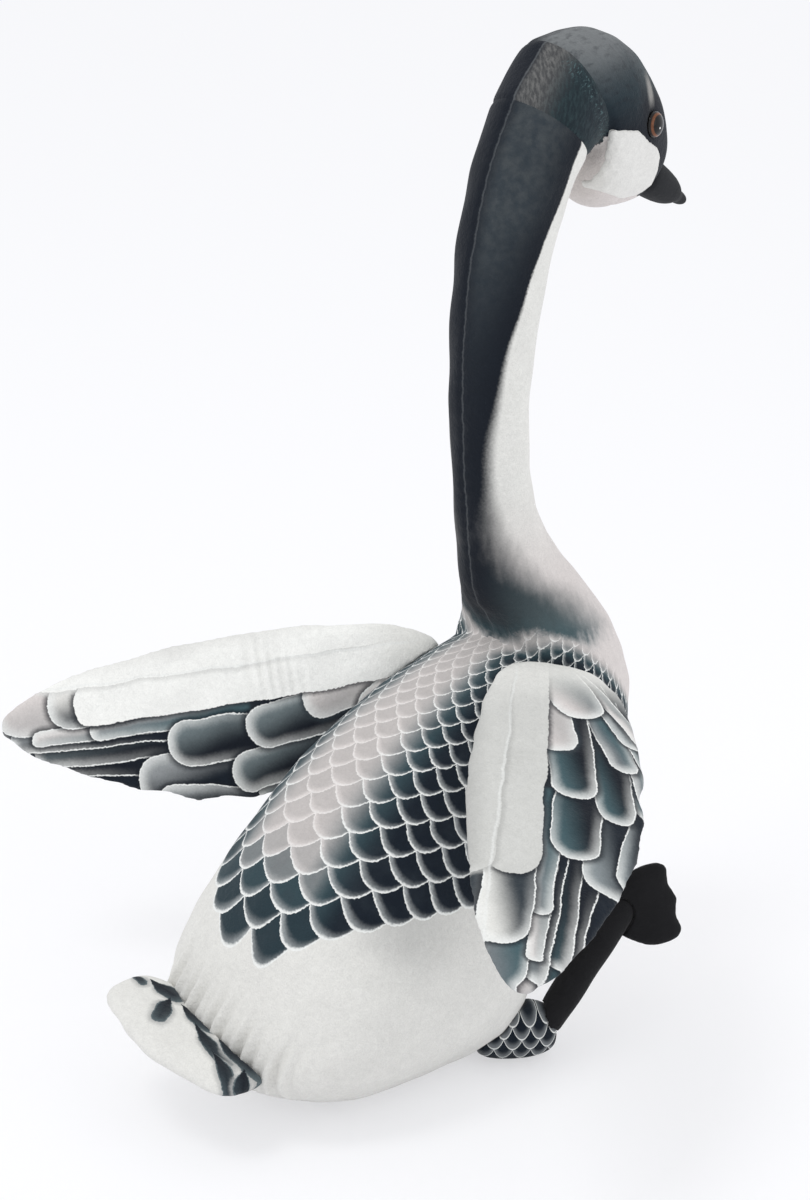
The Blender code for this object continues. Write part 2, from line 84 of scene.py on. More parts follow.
DOME_HEIGHT = 0.0045
DOME_STEPS = 12
RIM_STEP = 0.001
STEM_RADIUS = 0.0018
EYE_SIDES = 40

# The pile: how far its tufts fray a print, how deep it is, and its grain for each metre.

FRAY_REACH = 0.0016
FRAY_GRAIN = 700.0
PILE_DEPTH = 0.0009
NAP_GRAIN = 1100.0
TUFT_GRAIN = 330.0
PATCH_GRAIN = 70.0

# Colours are linear RGB.

WHITE = (0.76, 0.755, 0.72)
RIM_WHITE = (0.80, 0.81, 0.79)
PINK_WHITE = (0.67, 0.625, 0.605)
PINK_RIM = (0.74, 0.71, 0.69)
FAINT_PINK = (0.50, 0.47, 0.455)
BELLY_SHADE = (0.70, 0.69, 0.66)
CHEEK_SHADE = (0.74, 0.73, 0.71)
TAIL_SHADE = (0.72, 0.71, 0.68)
PALE_GREY = (0.42, 0.42, 0.41)
FEATHER_ROOT = (0.33, 0.35, 0.355)
GREY = (0.19, 0.205, 0.215)
CROWN_GREY = (0.17, 0.18, 0.185)
BROWN_GREY = (0.14, 0.14, 0.137)
BROW_GREY = (0.36, 0.35, 0.33)
TEAL = (0.060, 0.110, 0.125)
NAPE_FLECK = (0.10, 0.17, 0.18)
TAIL_TEAL = (0.11, 0.14, 0.15)
NECK_SIDE = (0.085, 0.115, 0.122)
# The mottled grey of the painted sheen on the back of the neck.
NECK_SHEEN = (0.068, 0.077, 0.082)
FACE_SLATE = (0.060, 0.080, 0.088)
TEMPLE = (0.022, 0.040, 0.050)
NAPE_SIDE = (0.026, 0.044, 0.050)
SLATE = (0.034, 0.044, 0.053)
NAVY = (0.009, 0.014, 0.022)
NIGHT = (0.008, 0.011, 0.017)
BLACK = (0.010, 0.010, 0.011)
CHARCOAL = (0.019, 0.020, 0.022)
AMBER = (0.25, 0.085, 0.03)
PUPIL = (0.001, 0.001, 0.001)
EYE_RIM = (0.004, 0.003, 0.003)
WASHER = (0.60, 0.60, 0.58)
WASHER_SHADE = (0.55, 0.55, 0.53)


# Node arithmetic.


def plug(tree, item, socket):
    if isinstance(item, Value):
        tree.links.new(item.socket, socket)
    elif isinstance(item, tuple):
        socket.default_value = (*item, 1.0) if len(socket.default_value) == 4 else item
    else:
        socket.default_value = item


class Value:
    """An output socket of a material's nodes, with arithmetic."""

    def __init__(self, tree, socket):
        self.tree = tree
        self.socket = socket

    def math(self, operation, *others):
        node = self.tree.nodes.new("ShaderNodeMath")
        node.operation = operation
        for item, socket in zip((self,) + others, node.inputs):
            plug(self.tree, item, socket)
        return Value(self.tree, node.outputs[0])

    def __add__(self, other):
        return self.math("ADD", other)

    def __sub__(self, other):
        return self.math("SUBTRACT", other)

    def __mul__(self, other):
        return self.math("MULTIPLY", other)

    def __truediv__(self, other):
        return self.math("DIVIDE", other)

    def __pow__(self, other):
        return self.math("POWER", other)

    def flipped(self):
        """One less this value."""
        return (self * -1.0) + 1.0

    def size(self):
        return self.math("ABSOLUTE")

    def floor(self):
        return self.math("FLOOR")

    def fraction(self):
        return self.math("FRACT")

    def above(self, other):
        return self.math("GREATER_THAN", other)

    def larger(self, other):
        return self.math("MAXIMUM", other)

    def smaller(self, other):
        return self.math("MINIMUM", other)

    def ramp(self, low, high):
        """A soft step from 0 at low to 1 at high."""
        node = self.tree.nodes.new("ShaderNodeMapRange")
        node.interpolation_type = "SMOOTHSTEP"
        plug(self.tree, self, node.inputs["Value"])
        plug(self.tree, low, node.inputs["From Min"])
        plug(self.tree, high, node.inputs["From Max"])
        return Value(self.tree, node.outputs["Result"])

    def between(self, low, high, soft):
        return self.ramp(low - soft, low + soft) * self.ramp(high - soft, high + soft).flipped()

    def curve(self, points):
        """Reads a curve through points of input and output."""
        left, right = points[0][0], points[-1][0]
        heights = [height for _, height in points]
        low, span = min(heights), max(heights) - min(heights)
        node = self.tree.nodes.new("ShaderNodeFloatCurve")
        line = node.mapping.curves[0]
        for _ in range(len(points) - 2):
            line.points.new(0.5, 0.5)
        for point, (place, height) in zip(line.points, points):
            point.location = ((place - left) / (right - left), (height - low) / span)
        node.mapping.update()
        plug(self.tree, (self - left) * (1 / (right - left)), node.inputs["Value"])
        return Value(self.tree, node.outputs[0]) * span + low

    def mix(self, off, on):
        """A colour between two others, with this value as the share of the second."""
        node = self.tree.nodes.new("ShaderNodeMix")
        node.data_type = "RGBA"
        plug(self.tree, self, node.inputs[0])
        plug(self.tree, off, node.inputs[6])
        plug(self.tree, on, node.inputs[7])
        return Value(self.tree, node.outputs[2])


def vector_math(operation, point, *others, output="Vector"):
    """A vector node on a place, with other places or fixed vectors."""
    node = point.tree.nodes.new("ShaderNodeVectorMath")
    node.operation = operation
    for item, socket in zip((point,) + others, node.inputs):
        plug(point.tree, item, socket)
    return Value(point.tree, node.outputs[output])


def place(tree):
    """The point's place in the row frame."""
    node = tree.nodes.new("ShaderNodeTexCoord")
    return Value(tree, node.outputs["Object"])


def along(point, direction, start=0.0):
    """How far a place lies along a direction, past a start."""
    return vector_math("DOT_PRODUCT", point, tuple(direction), output="Value") - start


def stretched(point, scale):
    return vector_math("MULTIPLY", point, scale)


def pair(one, two):
    """A place on a flat pattern, from two values."""
    node = one.tree.nodes.new("ShaderNodeCombineXYZ")
    plug(one.tree, one, node.inputs["X"])
    plug(one.tree, two, node.inputs["Y"])
    return Value(one.tree, node.outputs["Vector"])


def noise(point, scale, detail=2.0, output="Fac"):
    """Even noise from 0 to 1."""
    node = point.tree.nodes.new("ShaderNodeTexNoise")
    node.inputs["Scale"].default_value = scale
    node.inputs["Detail"].default_value = detail
    plug(point.tree, point, node.inputs["Vector"])
    return Value(point.tree, node.outputs[output])


def frayed(point):
    """A place moved a little by noise, so that a print's edges follow the pile's tufts."""
    tufts = noise(point, FRAY_GRAIN, output="Color")
    aside = vector_math("SUBTRACT", tufts, (0.5, 0.5, 0.5))
    return vector_math("MULTIPLY_ADD", aside, (FRAY_REACH, FRAY_REACH, FRAY_REACH), point)


def new_material(name):
    material = bpy.data.materials.new(name)
    material.use_nodes = True
    return material, material.node_tree


def plush_finish(tree, colour, pile=1.0):
    """Short brushed pile: a fine nap, a little sheen and uneven dye."""
    shader = tree.nodes["Principled BSDF"]
    point = place(tree)
    nap = noise(point, NAP_GRAIN, 3.0)
    tufts = noise(point, TUFT_GRAIN, 3.0)
    patches = noise(point, PATCH_GRAIN, 3.0)
    dye = (nap * 0.26 + 0.87) * (tufts * 0.16 + 0.92) * (patches * 0.12 + 0.94)
    node = tree.nodes.new("ShaderNodeMix")
    node.data_type = "RGBA"
    node.blend_type = "MULTIPLY"
    node.inputs[0].default_value = 1.0
    plug(tree, colour, node.inputs[6])
    plug(tree, dye, node.inputs[7])
    tree.links.new(node.outputs[2], shader.inputs["Base Color"])
    shader.inputs["Roughness"].default_value = 0.95
    shader.inputs["Specular IOR Level"].default_value = 0.12
    shader.inputs["Sheen Weight"].default_value = 0.10 * pile
    shader.inputs["Sheen Roughness"].default_value = 0.5
    bump = tree.nodes.new("ShaderNodeBump")
    bump.inputs["Strength"].default_value = 0.7 * pile
    bump.inputs["Distance"].default_value = PILE_DEPTH
    plug(tree, nap * 0.5 + tufts * 0.8, bump.inputs["Height"])
    tree.links.new(bump.outputs["Normal"], shader.inputs["Normal"])


# Shapes.


def vertices(name):
    """A CAD node's corners as an array."""
    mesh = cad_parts[name].data
    points = np.empty(len(mesh.vertices) * 3)
    mesh.vertices.foreach_get("co", points)
    return points.reshape(-1, 3)


def linked(name, data):
    """A new object in the scene."""
    obj = bpy.data.objects.new(name, data)
    bpy.context.scene.collection.objects.link(obj)
    return obj


def from_shape(name, shape):
    """A new object from a bmesh, which is freed."""
    mesh = bpy.data.meshes.new(name)
    shape.to_mesh(mesh)
    shape.free()
    return linked(name, mesh)


def merged(piece, *names):
    """One new object with the shapes of some CAD nodes."""
    shape = bmesh.new()
    for name in names:
        shape.from_mesh(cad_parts[name].data)
    bmesh.ops.remove_doubles(shape, verts=shape.verts, dist=1e-6)
    return from_shape(piece, shape)


def settle(obj):
    """Turns an object's modifiers into its mesh."""
    bpy.context.view_layer.update()
    evaluated = obj.evaluated_get(bpy.context.evaluated_depsgraph_get())
    mesh = bpy.data.meshes.new_from_object(evaluated)
    old = obj.data
    obj.modifiers.clear()
    obj.data = mesh
    bpy.data.meshes.remove(old)
    mesh.name = obj.name
    return obj


def remeshed(obj, voxel, rounds):
    """An even mesh with its facets and corners rounded off."""
    even = obj.modifiers.new("even", "REMESH")
    even.mode = "VOXEL"
    even.voxel_size = voxel
    soften = obj.modifiers.new("soften", "SMOOTH")
    soften.factor = 0.5
    soften.iterations = rounds
    return settle(obj)


def pushed(obj, amount):
    """Moves each vertex along its normal by amount(places), and never under the floor."""
    mesh = obj.data
    count = len(mesh.vertices)
    places = np.empty(count * 3)
    mesh.vertices.foreach_get("co", places)
    places = places.reshape(-1, 3)
    normals = np.empty(count * 3)
    mesh.vertices.foreach_get("normal", normals)
    places += normals.reshape(-1, 3) * amount(places)[:, None]
    places[:, 2] = np.maximum(places[:, 2], 0.0)
    mesh.vertices.foreach_set("co", places.ravel())
    mesh.update()
    return obj


def waves(places, size=STUFFING_WAVES):
    """Uneven stuffing: a few crossing waves, from minus size to size."""
    total = np.zeros(len(places))
    for direction, length, start in (
        ((0.8, 0.5, 0.3), 0.041, 0.3),
        ((-0.4, 0.8, 0.5), 0.029, 1.9),
        ((0.2, -0.5, 0.9), 0.035, 4.0),
        ((0.9, -0.3, -0.4), 0.023, 2.6),
    ):
        total += np.sin(places @ np.array(direction) * (2 * math.pi / length) + start)
    return total * (size / 4)


def falloff(distance, reach):
    """One on a line, and next to nothing at twice the reach from it."""
    return np.exp(-((distance / reach) ** 2))


def path_direction(pitch):
    return np.array((0.0, math.cos(pitch), math.sin(pitch)))


def path_seams():
    """The seams of the long skin: the nodes on both sides, the seam's direction and place."""
    seams = []
    for lower, upper, pitch in (
        ("torso", "neck", BODY_PITCH),
        ("neck", "nape_band", NECK_TOP_PITCH),
        ("nape_band", "head", NAPE_TOP_PITCH),
    ):
        direction = path_direction(pitch)
        end = (vertices(lower) @ direction).max()
        seams.append((lower, upper, direction, end + SEAM_GAP / 2))
    return seams


def neck_middle():
    """The neck's middle line in side view, from slices of the CAD node."""
    points = vertices("neck")
    heights = np.linspace(0.25, 0.53, 15)
    middles = []
    for height in heights:
        slab = points[np.abs(points[:, 2] - height) < 0.012]
        middles.append((slab[:, 1].min() + slab[:, 1].max()) / 2)
    return heights, np.array(middles)


SEAMS = path_seams()
NECK_HEIGHTS, NECK_MIDDLES = neck_middle()
TORSO_TOP = (vertices("torso") @ path_direction(BODY_PITCH)).max()
BACK = np.array((0.0, -math.sin(BODY_PITCH), math.cos(BODY_PITCH)))
TORSO_MIDDLE = (vertices("torso") @ BACK).max() - BODY_HALF_DEPTH
TAIL_CREASE = np.array(((-0.055, -0.110, 0.071), (0.043, -0.110, 0.047)))

SKIN_NODES = ("torso", "neck", "nape_band", "head")


def nearest_nodes(points, names):
    """The index of the CAD node that each point lies nearest to."""
    distances = []
    for name in names:
        shape = bmesh.new()
        shape.from_mesh(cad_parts[name].data)
        tree = BVHTree.FromBMesh(shape)
        distances.append([tree.find_nearest(Vector(point))[3] for point in points])
        shape.free()
    return np.argmin(np.array(distances), axis=0)


def dress(obj, material, nodes):
    """Finishes a piece and puts it in place of its CAD nodes."""
    obj.data.materials.clear()
    obj.data.materials.append(material)
    obj.data.shade_smooth()
    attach(obj, "root")
    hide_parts(*nodes)
    return obj


def seam_groove(places, owner, behind):
    """How far the path's seams draw the skin in, and the seam down the back of the neck."""
    depth = 0.8 * behind * falloff(places[:, 0], SEAM_WIDTH)
    for lower, upper, direction, start in SEAMS:
        near = np.isin(owner, (SKIN_NODES.index(lower), SKIN_NODES.index(upper)))
        share = 0.5 if lower == "torso" else 1.0
        depth += share * near * falloff(places @ direction - start, SEAM_WIDTH)
    return depth * SEAM_DEPTH


def neck_gathers(places):
    """Puckers that run into the neck joint, on the back."""
    _, _, direction, start = SEAMS[0]
    around = np.arctan2(places[:, 0], places @ BACK - TORSO_MIDDLE)
    ripple = np.sin(31 * around) + 0.6 * np.sin(47 * around + 1.0)
    near = falloff(places @ direction - start, NECK_GATHER_REACH)
    return NECK_GATHER * ripple * near * (np.abs(around) < 1.6)


def tail_gathers(places):
    """Puckers that run into the tail's crease."""
    one, two = TAIL_CREASE
    length = np.linalg.norm(two - one)
    span = (two - one) / length
    past = (places - one) @ span
    nearest = one + np.outer(np.clip(past, 0.0, length), span)
    turns = [past * 2 * math.pi / pleat for pleat in TAIL_PLEATS]
    ripple = np.sin(turns[0]) + 0.7 * np.sin(turns[1] + 1)
    near = falloff(np.linalg.norm(places - nearest, axis=1), TAIL_GATHER_REACH)
    return TAIL_GATHER * ripple * near


def back_gathers(places):
    """Puckers up the seam behind the neck."""
    up = places[:, 2]
    ripple = np.sin(up * 2 * math.pi / BACK_PLEAT + 3 * np.sin(up * 60))
    return BACK_GATHER * ripple * falloff(places[:, 0], BACK_GATHER_REACH)


def skin_shift(places):
    """Stuffing waves, gathers and drawn-in seams of the long skin."""
    owner = nearest_nodes(places, SKIN_NODES)
    centre = np.interp(places[:, 2], NECK_HEIGHTS, NECK_MIDDLES)
    behind = (owner == SKIN_NODES.index("neck")) * (places[:, 1] < centre)
    shift = waves(places) + neck_gathers(places) + back_gathers(places) * behind
    shift += tail_gathers(places) * (owner == SKIN_NODES.index("torso"))
    return shift - seam_groove(places, owner, behind)


def cut_at_seams(skin):
    """Lays a line of edges in the skin along each seam."""
    shape = bmesh.new()
    shape.from_mesh(skin.data)
    for _, _, direction, start in SEAMS:
        bmesh.ops.bisect_plane(
            shape,
            geom=shape.verts[:] + shape.edges[:] + shape.faces[:],
            plane_co=Vector(direction * start),
            plane_no=Vector(direction),
            dist=1e-5,
        )
    shape.to_mesh(skin.data)
    shape.free()


def build_skin():
    """The torso, neck, nape band and head as one stuffed skin, parted at its seams."""
    skin = merged("skin", *SKIN_NODES, "cheek_right", "cheek_left", "washer_right", "washer_left")
    remeshed(skin, SKIN_VOXEL, 14)
    cut_at_seams(skin)
    pushed(skin, skin_shift)
    owner = nearest_nodes([face.center for face in skin.data.polygons], SKIN_NODES)
    pieces = {}
    for index, name in enumerate(SKIN_NODES):
        shape = bmesh.new()
        shape.from_mesh(skin.data)
        shape.faces.ensure_lookup_table()
        others = [shape.faces[face] for face in np.flatnonzero(owner != index)]
        bmesh.ops.delete(shape, geom=others, context="FACES")
        pieces[name] = from_shape(name + "_skin", shape)
    bpy.data.objects.remove(skin)
    return pieces


# Prints.

# The body's rows of feathers: their number along it, how much it grows, how wide a feather
# is round it, in degrees, and how much narrower at the neck.
ROWS = 14.0
ROWS_GAIN = 13.0
SCALE_WIDTH = 21.0
SCALE_TAPER = 11.0

# Where the body's print starts: degrees round from its back, and the share of its length.
SCALE_EDGE = (
    (0, 0.105),
    (20, 0.12),
    (33, 0.165),
    (44, 0.225),
    (52, 0.29),
    (58, 0.36),
    (66, 0.46),
    (76, 0.62),
    (90, 0.84),
    (100, 0.96),
    (112, 1.10),
)


# Where the body's print stops on the neck: metres aside and metres past the torso's end.
PRINT_TOP = ((0.0, -0.005), (0.03, 0.010), (0.05, 0.024), (0.08, 0.034))


def scales(across, rows, reach=0.35, rise=0.95):
    """Overlapping rounded feathers in rows, as roof tiles. Returns how far the point lies in
    from its feather's rim, and the feather's own middle across and row."""

    def rim(row):
        shift = (row * 0.5).fraction()
        cell = (across + shift).floor() - shift + 0.5
        aside = ((across - cell) * 2.0).size()
        return row - reach + (aside ** 2.2) * rise, cell

    upper = (rows + reach).floor()
    lower = upper - 1.0
    upper_rim, upper_cell = rim(upper)
    lower_rim, lower_cell = rim(lower)
    on_upper = rows.above(upper_rim)
    off_upper = on_upper.flipped()
    depth = (rows - upper_rim) * on_upper + (rows - lower_rim) * off_upper
    cell = upper_cell * on_upper + lower_cell * off_upper
    row = upper * on_upper + lower * off_upper
    return depth, cell, row


def body_feathers(tree):
    """The body's printed feathers and where the print lies."""
    point = frayed(place(tree))
    share = along(point, path_direction(BODY_PITCH), TORSO_TOP) * (1 / BODY_LENGTH) + 1.0
    lift = along(point, BACK, TORSO_MIDDLE)
    x = along(point, (1, 0, 0))
    angle = x.math("ARCTAN2", lift) * math.degrees(1)
    warp = noise(point, 22.0) * 0.6 - 0.3
    steps = share * ROWS + share * share * ROWS_GAIN + warp
    width = share * -SCALE_TAPER + SCALE_WIDTH
    across = angle / width + warp * 0.5
    depth, cell, row = scales(across, steps)
    root = (row * (4 * ROWS_GAIN) + ROWS**2).larger(0.0).math("SQRT")
    row_share = (root - ROWS) * (1 / (2 * ROWS_GAIN))
    cell_angle = cell * (row_share * -SCALE_TAPER + SCALE_WIDTH)
    printed = row_share.above(cell_angle.size().curve(SCALE_EDGE))
    low = row_share.ramp(0.18, 0.40).flipped() * 0.86
    right = (angle + row_share * 6.0).ramp(2.0, 34.0)
    left = angle.ramp(-42.0, -9.0).flipped() * 0.82
    below_neck = x.size().curve(PRINT_TOP) - (share - 1.0) * BODY_LENGTH
    dark = right.larger(left).larger(low) * below_neck.ramp(-0.002, 0.013)
    lively = noise(point, 55.0, 3.0)
    line = depth.ramp(0.05, 0.19)
    outward = (across - cell) * (angle.ramp(-12.0, 12.0) * 2.0 - 1.0)
    inner = (depth + outward * 0.40).ramp(-0.02, 0.55)
    deep = inner.mix(FEATHER_ROOT, (dark * dark).mix(TEAL, NAVY))
    deep = (lively.ramp(0.45, 0.75) * 0.35).mix(deep, SLATE)
    faint = inner.mix(PINK_WHITE, FAINT_PINK)
    inside = dark.ramp(0.0, 0.75).mix(faint, deep)
    rim = dark.ramp(0.0, 0.35).mix(PINK_RIM, RIM_WHITE)
    return point, share, angle, below_neck, printed, line.mix(rim, inside)


def torso_material():
    material, tree = new_material("body_print")
    point, share, angle, _, printed, feather = body_feathers(tree)
    belly = noise(point, 14.0).mix(WHITE, BELLY_SHADE)
    # Painted shadow: a grey patch on the belly's right side, just under the print and below the
    # wing.
    shade = angle.between(38.0, 66.0, 14.0) * share.between(0.26, 0.44, 0.06)
    belly = (shade * 0.55).mix(belly, PALE_GREY)
    belly = share.ramp(0.80, 0.98).mix(belly, PINK_WHITE)
    plush_finish(tree, printed.mix(belly, feather))
    return material


NAPE_BACK = np.array((0.0, -math.sin(NAPE_TOP_PITCH), math.cos(NAPE_TOP_PITCH)))
NAPE_MIDDLE = (vertices("nape_band") @ NAPE_BACK).mean()

NECK_EDGE = (
    (0.2340, 0.1560),
    (0.2590, 0.1320),
    (0.2757, 0.1085),
    (0.2922, 0.0968),
    (0.3101, 0.0894),
    (0.3458, 0.0844),
    (0.3971, 0.0875),
    (0.4439, 0.1022),
    (0.4732, 0.1148),
    (0.4965, 0.1286),
    (0.5175, 0.1374),
    (0.5500, 0.1600),
)


def back_seam_highlight(x):
    """The light line where the seam up the back catches the light."""
    return (x - 0.0006).size().ramp(0.0010, 0.0002)


def neck_material():
    material, tree = new_material("neck_print")
    point, _, _, below_neck, _, feather = body_feathers(tree)
    x = along(point, (1, 0, 0))
    y = along(point, (0, 1, 0))
    z = along(point, (0, 0, 1))
    streaks = noise(stretched(point, (210.0, 210.0, 80.0)), 1.0, 3.0) - 0.5
    low = z.ramp(0.34, 0.25)
    behind = z.curve(NECK_EDGE) - y + streaks * low * 0.012 + z.ramp(0.46, 0.40) * 0.0025
    soft = low * 0.019 + z.ramp(0.47, 0.34) * 0.0028 + 0.0010
    dark = (behind / soft).ramp(-1.0, 1.0)
    fade = (z + streaks * 0.014 - x.size() * 0.10).ramp(0.214, 0.256)
    # Painted sheen: a mottled grey highlight up the back of the neck, on the right of its back
    # seam.
    sheen = x.ramp(-0.002, 0.010) * behind.ramp(0.0, 0.030) * z.ramp(0.30, 0.50)
    mottle = noise(point, 190.0, 4.0).ramp(0.25, 0.75) * z.ramp(0.36, 0.54)
    sheen_grey = (mottle * 0.85).mix(SLATE, NECK_SHEEN)
    night = (sheen * 0.9).mix(NIGHT, sheen_grey)
    # Painted highlight along the back seam.
    night = (back_seam_highlight(x) * 0.22).mix(night, GREY)
    night = (x.ramp(0.004, 0.040) * low * 0.8).mix(night, NECK_SIDE)
    back = fade.mix(TEAL, night)
    throat = z.ramp(0.26, 0.34).mix(PINK_WHITE, WHITE)
    base = (dark * fade.ramp(0.0, 0.55)).mix(throat, back)
    printed = (below_neck + streaks * 0.005).ramp(-0.003, 0.003)
    plush_finish(tree, printed.mix(base, feather))
    return material


def nape_material():
    material, tree = new_material("nape_print")
    point = frayed(place(tree))
    x = along(point, (1, 0, 0))
    run = along(point, path_direction(NAPE_TOP_PITCH), SEAMS[2][3])
    around = x.math("ARCTAN2", along(point, NAPE_BACK, NAPE_MIDDLE))
    hairs = noise(pair(around * 9.0, run * 560.0 + around * 14.0), 1.0, 3.0)
    side = (x + (hairs - 0.5) * 0.010).ramp(0.012, 0.026)
    base = side.mix(BROWN_GREY, NAPE_SIDE)
    base = x.ramp(0.028, 0.034).mix(base, SLATE)
    # Past the back seam, on the goose's left, the band is painted near black: painted shade.
    base = x.ramp(-0.001, 0.005).mix(NIGHT, base)
    colour = (hairs.ramp(0.70, 0.36) * 0.6).mix(base, NIGHT)
    flecks = noise(pair(around * 30.0, run * 500.0), 1.0, 2.0).ramp(0.55, 0.66)
    marks = flecks * run.between(-0.009, -0.002, 0.003) * x.ramp(0.014, 0.020)
    colour = (marks * 0.6).mix(colour, NAPE_FLECK)
    # Painted highlight along the back seam.
    colour = (back_seam_highlight(x) * 0.3).mix(colour, GREY)
    plush_finish(tree, colour)
    return material


CHIN_EDGE = (
    (0.140, 0.523),
    (0.172, 0.523),
    (0.180, 0.512),
    (0.188, 0.490),
    (0.200, 0.486),
    (0.214, 0.478),
    (0.240, 0.470),
)


def head_material():
    material, tree = new_material("head_print")
    point = frayed(place(tree))
    x = along(point, (1, 0, 0))
    y = along(point, (0, 1, 0))
    z = along(point, (0, 0, 1))
    hairs = noise(stretched(point, (300.0, 120.0, 300.0)), 1.0, 3.0)
    # The crown is grey only on the goose's right of the back seam. Past the seam it stays dark as
    # painted shade.
    crown = (z + hairs * 0.008 - y * 0.25).ramp(0.503, 0.535) * x.ramp(-0.012, 0.004)
    base = (crown * 0.95).mix(NIGHT, CROWN_GREY)
    front = y.ramp(0.180, 0.202) * z.between(0.546, 0.566, 0.010)
    base = (front * 0.8).mix(base, FACE_SLATE)
    middle = z.between(0.536, 0.566, 0.014) * y.ramp(0.196, 0.186)
    base = (middle * 0.65).mix(base, TEMPLE)
    base = (hairs.ramp(0.45, 0.75) * 0.45).mix(base, NIGHT)
    brow = y.between(0.1995, 0.2060, 0.0022) * z.between(0.538, 0.552, 0.005)
    base = (brow * x.ramp(0.0, 0.01) * 0.8).mix(base, BROW_GREY)
    # Painted highlight along the back seam.
    base = (back_seam_highlight(x) * y.ramp(0.21, 0.19) * 0.3).mix(base, GREY)
    chin = (y.curve(CHIN_EDGE) - z).ramp(-0.0006, 0.0006)
    plush_finish(tree, chin.mix(base, PINK_WHITE))
    return material


def white_material(name):
    material, tree = new_material(name)
    point = place(tree)
    plush_finish(tree, noise(point, 30.0).mix(WHITE, CHEEK_SHADE))
    return material


# The wing's printed feathers: base and tip as shares of the span and of the chord from the
# leading edge, half width and bend, and tone. Later ones lie on top. The wing's span, chord
# and widths are in millimetres, and the tips "arm" and "lead" differ on the two wings.
WING_SPAN = 275.0
WING_CHORD = 108.0
WING_PRINT = (
    ((0.80, 0.36), (1.04, 0.36), 13.0, 0.0, "fold"),
    ((0.71, 0.76), (1.03, 0.50), 10.0, 4.0, "dark"),
    ((0.64, 0.68), (0.985, 0.50), 9.0, 4.0, "deep"),
    ((0.52, 0.56), (0.93, 0.56), 8.5, -3.0, "deep"),
    ((0.79, 0.08), (1.00, 0.22), 12.0, 0.0, "pale"),
    ((0.62, 0.50), (0.98, 0.40), 8.0, 4.0, "half"),
    ((0.72, 0.30), (1.01, 0.29), 14.0, -2.0, "tip"),
    ((0.66, 0.47), (0.93, 0.40), 5.0, 4.0, "pale"),
    ((0.44, 0.43), (0.80, 0.46), 6.0, -2.0, "teal"),
    ((0.60, 0.06), (0.875, 0.08), 10.0, 0.0, "finger"),
    ((0.58, 0.28), (0.888, 0.275), 14.5, -1.0, "finger"),
    ((0.44, 0.78), (0.71, 0.73), 15.0, 3.0, "half"),
    ((0.44, 0.93), (0.67, 0.83), 8.0, 2.0, "half"),
    ((0.36, 0.57), (0.635, 0.57), 14.0, 1.0, "deep"),
    ((0.20, 0.93), (0.52, 1.01), 6.0, 4.0, "dark"),
    ((0.17, 0.84), (0.49, 0.985), 6.5, 4.0, "dark"),
    ((0.17, 0.76), (0.455, 0.90), 7.0, 3.0, "dark"),
    ((0.24, 0.67), (0.50, 0.775), 12.0, 2.0, "deep"),
    ((0.12, 0.69), (0.41, 0.91), 5.5, 4.0, "teal"),
    ((0.14, 0.58), (0.345, 0.80), 9.0, 3.0, "teal"),
    ((0.08, 0.60), (0.33, 0.94), 5.0, 4.0, "dark"),
    ((0.15, 0.46), (0.46, 0.535), 13.5, 2.0, "deep"),
    ((0.06, 0.50), (0.26, 0.82), 6.0, 4.0, "half"),
    ((0.03, 0.42), (0.245, 0.90), 5.0, 5.0, "pale"),
    ((0.12, 0.30), (0.330, 0.42), 14.0, 3.0, "fold"),
    ((0.04, 0.34), (0.213, 0.56), 14.0, 4.0, "pale"),
    ((-0.10, 0.24), ("arm", 0.300), 13.0, -1.0, "white"),
    ((-0.12, 0.05), ("lead", 0.080), 12.5, 0.0, "edge"),
)
ARM_TIPS = {"wing_right": 0.703, "wing_left": 0.83}
LEAD_TIPS = {"wing_right": 0.703, "wing_left": 0.93}
# The arms' white is painted as each wing is lit: darker on the right wing as painted shade, and
# brighter on the left as painted light.
ARM_WHITE_AS_LIT = {"wing_right": (0.60, 0.60, 0.575), "wing_left": (0.86, 0.86, 0.83)}
TIP_TONES = {"wing_right": "teal", "wing_left": "fold"}
PALENESS = {"wing_right": 0.0, "wing_left": 0.16}
TONES = {
    "dark": (TEAL, NAVY, NIGHT),
    "deep": (TEAL, NIGHT, NIGHT),
    "teal": (GREY, TEAL, NIGHT),
    "half": ((0.24, 0.27, 0.28), NAVY, NIGHT),
    "pale": (PINK_WHITE, (0.20, 0.22, 0.225), NIGHT),
    "fold": (PINK_WHITE, (0.48, 0.46, 0.45), SLATE),
    "finger": (WHITE, SLATE, NIGHT),
}
RIM_LINE = 1.2
RIM_GLOW = 7.5
CAST_SHADE = 4.0


